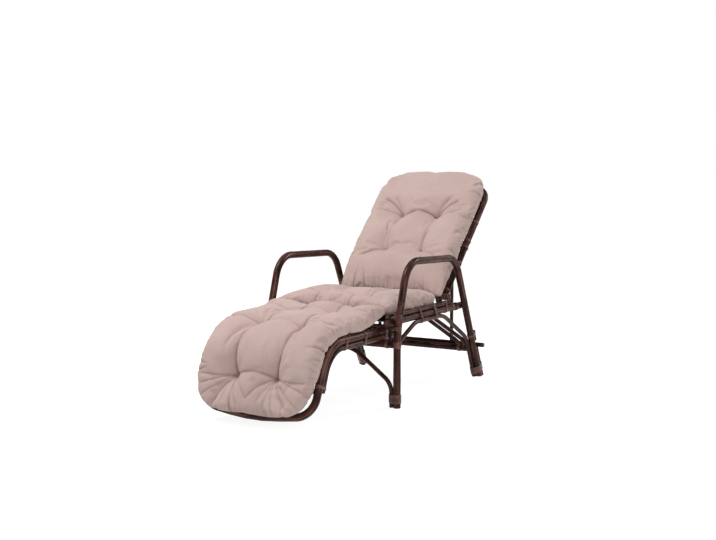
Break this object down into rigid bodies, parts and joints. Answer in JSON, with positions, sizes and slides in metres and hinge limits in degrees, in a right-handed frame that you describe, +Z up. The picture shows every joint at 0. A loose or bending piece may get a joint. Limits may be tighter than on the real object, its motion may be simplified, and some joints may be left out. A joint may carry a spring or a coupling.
{
  "type": "sun lounger",
  "caption": "Rattan sun lounger with arms, reclining back on a swinging stay, pull-out bent footrest and tufted seat, back and foot pads.",
  "frame": {"origin": "on the floor under the middle of the lounger, back at its first notch and footrest drawn out", "axes": "+X to the sitter's left, +Y towards the back, -Y towards the foot end, +Z up"},
  "size_m": [0.692, 1.6024, 0.9273],
  "materials": {
    "rattan": "dark stained, satin",
    "binding": "dark stained cane peel",
    "cushion": "woven cotton, dusty pink"
  },
  "bodies": {
    "frame": {"arm_pole_left": "rattan", "arm_pole_right": "rattan", "heel_rest_left": "rattan", "heel_rest_right": "rattan", "side_arch_left": "rattan", "side_arch_right": "rattan", "front_stretcher": "rattan", "rear_stretcher": "rattan", "front_arch": "rattan", "rear_arch_outer": "rattan", "rear_arch_inner": "rattan", "rear_bar": "rattan", "seat_rail_left": "rattan", "seat_rail_right": "rattan", "seat_cap_left": "rattan", "seat_cap_right": "rattan", "rail_tail_left": "rattan", "rail_tail_right": "rattan", "guide_post_left": "rattan", "guide_post_right": "rattan", "seat_bars": "rattan", "seat_slats": "rattan", "hinge_bar": "rattan", "hinge_saddles": "binding", "frame_bands": "binding", "seat_pad": "cushion"},
    "backrest": {"back_loop": "rattan", "back_sleeves": "binding", "back_bars": "rattan", "back_canes": "rattan", "back_bands": "binding", "stay_bar": "rattan", "back_pad": "cushion"},
    "back_stay": {"stay_poles": "rattan", "stay_sleeves": "binding", "stay_foot_bar": "rattan"},
    "footrest": {"footrest_loop": "rattan", "footrest_doubler_left": "rattan", "footrest_doubler_right": "rattan", "footrest_bars": "rattan", "footrest_canes": "rattan", "footrest_bands": "binding", "foot_pad": "cushion"}
  },
  "joints": [
    {"name": "back_recline", "type": "hinge", "parent": "frame", "child": "backrest", "pos_m": [0, 0.30474, 0.3871], "axis": [1, 0, 0], "range_deg": [0, 26]},
    {"name": "stay_swing", "type": "hinge", "parent": "backrest", "child": "back_stay", "pos_m": [0, 0.54178, 0.58083], "axis": [1, 0, 0], "range_deg": [0, 110]},
    {"name": "footrest_slide", "type": "slide", "parent": "frame", "child": "footrest", "axis": [0, 1, 0], "range_m": [0, 0.31], "deforming": ["foot_pad"]}
  ]
}
